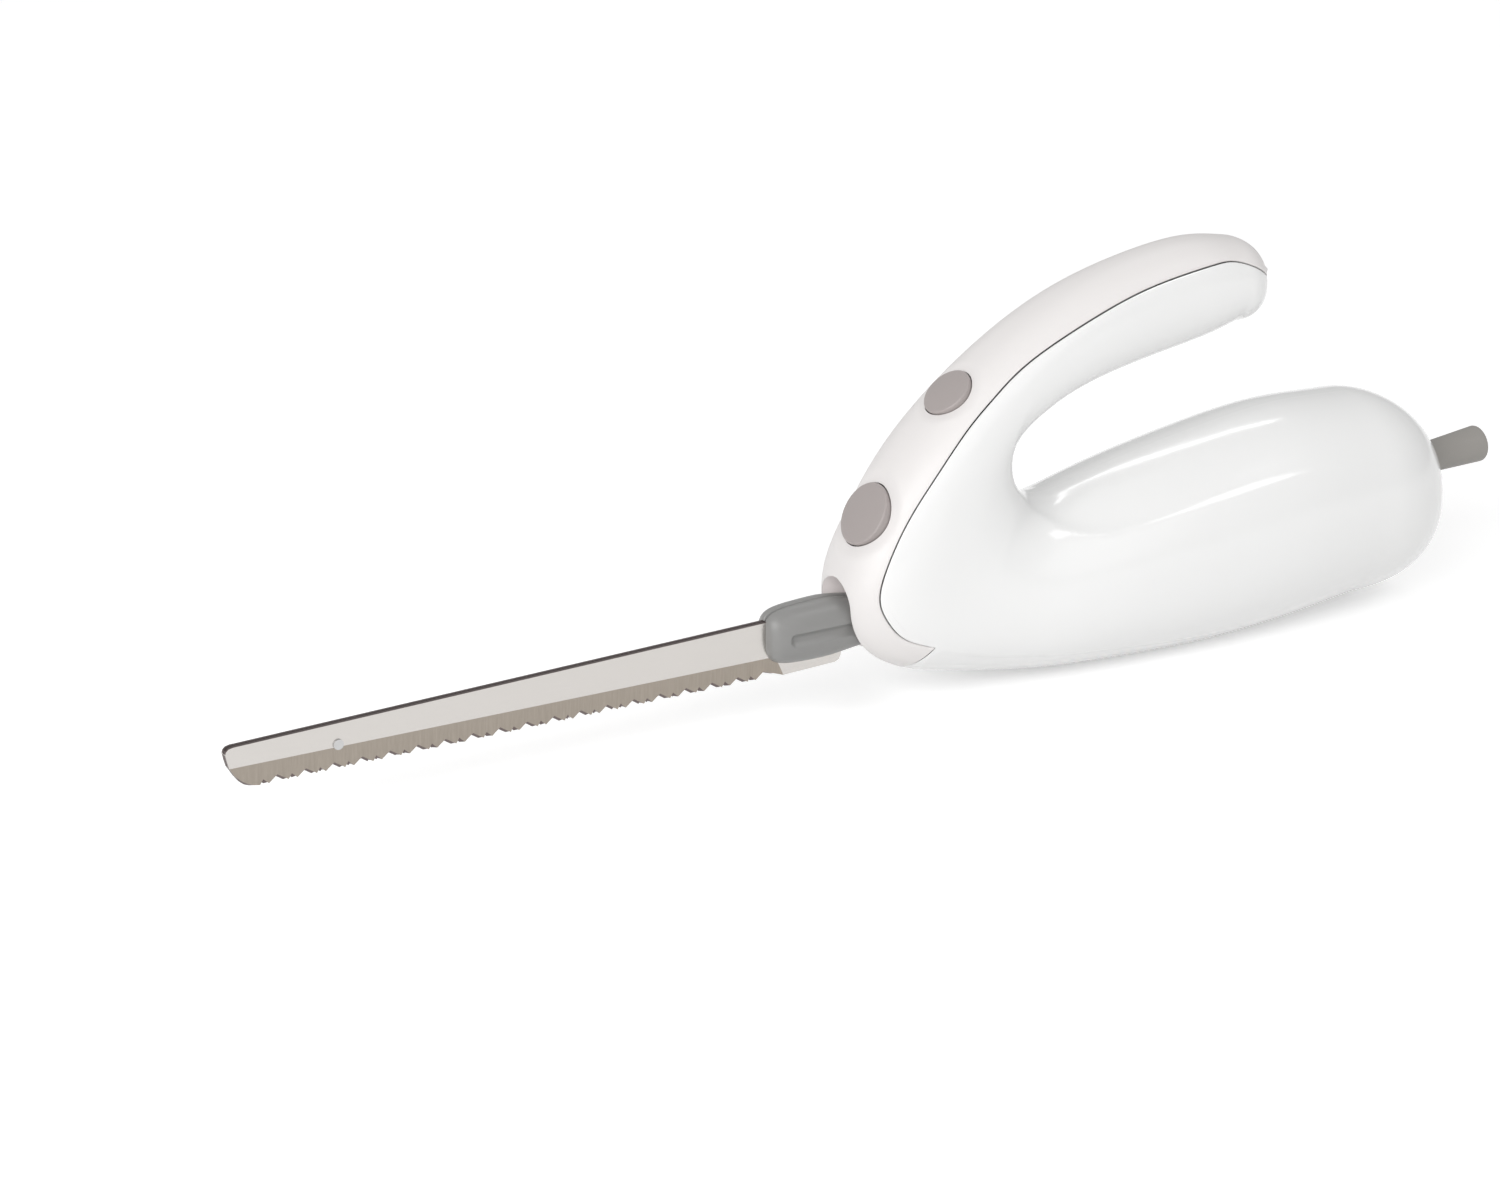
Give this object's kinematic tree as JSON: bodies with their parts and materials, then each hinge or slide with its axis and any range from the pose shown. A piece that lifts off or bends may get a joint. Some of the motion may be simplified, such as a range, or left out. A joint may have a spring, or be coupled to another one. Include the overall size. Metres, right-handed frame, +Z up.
{
  "type": "electric carving knife",
  "caption": "White corded electric carving knife with a C-shaped handle, twin serrated blades side by side, grey blade guards, power and eject buttons and a flared cord outlet.",
  "frame": {"origin": "centre of the flat under the belly, on the middle plane", "axes": "+X towards the cord outlet (the blades point to -X), +Y to the knife's right, +Z up"},
  "size_m": [0.4533, 0.0662, 0.1317],
  "materials": {
    "white_shell": "gloss",
    "cream_cover": "satin",
    "grey_button": "satin",
    "grey_guard": "satin",
    "grey_rubber": "matte",
    "blade_steel": "satin",
    "spring_steel": "satin",
    "shaft_steel": "ground",
    "bearing_bronze": "satin",
    "copper_wire": "enamelled",
    "core_steel": "matte",
    "carbon": "matte",
    "brass_fitting": "satin",
    "driver_nylon": "satin",
    "gear_nylon": "satin",
    "frame_plastic": "matte",
    "switch_plastic": "satin",
    "fan_plastic": "satin",
    "capacitor_film": "gloss"
  },
  "bodies": {
    "housing": {"left_housing_shell": "white_shell", "right_housing_shell": "white_shell", "top_cover": "cream_cover", "power_button_spring": "spring_steel", "eject_button_spring": "spring_steel", "switch_body": "switch_plastic", "gearbox_frame": "frame_plastic", "gear_axle": "shaft_steel", "front_bearing": "bearing_bronze", "stator_core": "core_steel", "field_coils": "copper_wire", "motor_end_bracket": "frame_plastic", "rear_bearing": "bearing_bronze", "carbon_brushes": "carbon", "brush_holders": "brass_fitting", "brush_springs": "spring_steel", "terminal_block": "switch_plastic", "suppression_capacitor": "capacitor_film", "cord_clamp": "frame_plastic", "cord_sleeve": "grey_rubber", "housing_screws": "spring_steel"},
    "power_button": {"power_button": "grey_button"},
    "switch_plunger": {"switch_plunger": "grey_button"},
    "eject_button": {"eject_button": "grey_button", "eject_fork": "driver_nylon"},
    "left_driver": {"left_driver": "driver_nylon"},
    "right_driver": {"right_driver": "driver_nylon"},
    "left_blade": {"left_blade": "blade_steel", "left_guard": "grey_guard", "blade_rivet": "blade_steel"},
    "right_blade": {"right_blade": "blade_steel", "right_guard": "grey_guard"},
    "left_latch": {"left_latch": "spring_steel"},
    "right_latch": {"right_latch": "spring_steel"},
    "armature": {"motor_shaft": "shaft_steel", "armature_core": "core_steel", "armature_winding": "copper_wire", "commutator": "brass_fitting", "cooling_fan": "fan_plastic"},
    "drive_gear": {"drive_gear": "gear_nylon"}
  },
  "joints": [
    {"name": "power_press", "type": "slide", "parent": "housing", "child": "power_button", "axis": [0.6467, 0, -0.7627], "range_m": [0, 0.0015], "stiffness_N_per_m": 800, "springref_m": -0.001, "deforming": ["power_button_spring"]},
    {"name": "switch_plunger_press", "type": "slide", "parent": "housing", "child": "switch_plunger", "axis": [0.6467, 0, -0.7627], "range_m": [0, 0.0015]},
    {"name": "eject_press", "type": "slide", "parent": "housing", "child": "eject_button", "axis": [0.8541, 0, -0.5201], "range_m": [0, 0.0035], "stiffness_N_per_m": 600, "springref_m": -0.002, "deforming": ["eject_button_spring"]},
    {"name": "left_stroke", "type": "slide", "parent": "housing", "child": "left_driver", "axis": [1, 0, 0], "range_m": [-0.004, 0.004]},
    {"name": "right_stroke", "type": "slide", "parent": "housing", "child": "right_driver", "axis": [1, 0, 0], "range_m": [-0.004, 0.004]},
    {"name": "left_blade_removal", "type": "slide", "parent": "left_driver", "child": "left_blade", "axis": [-1, 0, 0], "range_m": [0, 0.075]},
    {"name": "right_blade_removal", "type": "slide", "parent": "right_driver", "child": "right_blade", "axis": [-1, 0, 0], "range_m": [0, 0.075]},
    {"name": "left_latch_hinge", "type": "hinge", "parent": "left_driver", "child": "left_latch", "pos_m": [-0.082, -0.0068, 0.0255], "axis": [0, 0, -1], "range_deg": [0, 5]},
    {"name": "right_latch_hinge", "type": "hinge", "parent": "right_driver", "child": "right_latch", "pos_m": [-0.082, 0.0068, 0.0255], "axis": [0, 0, 1], "range_deg": [0, 5]},
    {"name": "motor_spin", "type": "hinge", "parent": "housing", "child": "armature", "pos_m": [0, 0, 0.039], "axis": [1, 0, 0], "continuous": true},
    {"name": "drive_gear_spin", "type": "hinge", "parent": "housing", "child": "drive_gear", "pos_m": [-0.038, 0, 0.025], "axis": [0, 1, 0], "continuous": true}
  ],
  "couplings": [
    {"joint": "switch_plunger_press", "follows": "power_press", "ratio": 1},
    {"joint": "right_stroke", "follows": "left_stroke", "ratio": -1},
    {"joint": "right_blade_removal", "follows": "left_blade_removal", "ratio": 1},
    {"joint": "left_latch_hinge", "follows": "eject_press", "rad_per_m": 24.9},
    {"joint": "right_latch_hinge", "follows": "eject_press", "rad_per_m": 24.9},
    {"joint": "drive_gear_spin", "follows": "motor_spin", "ratio": -0.05}
  ]
}
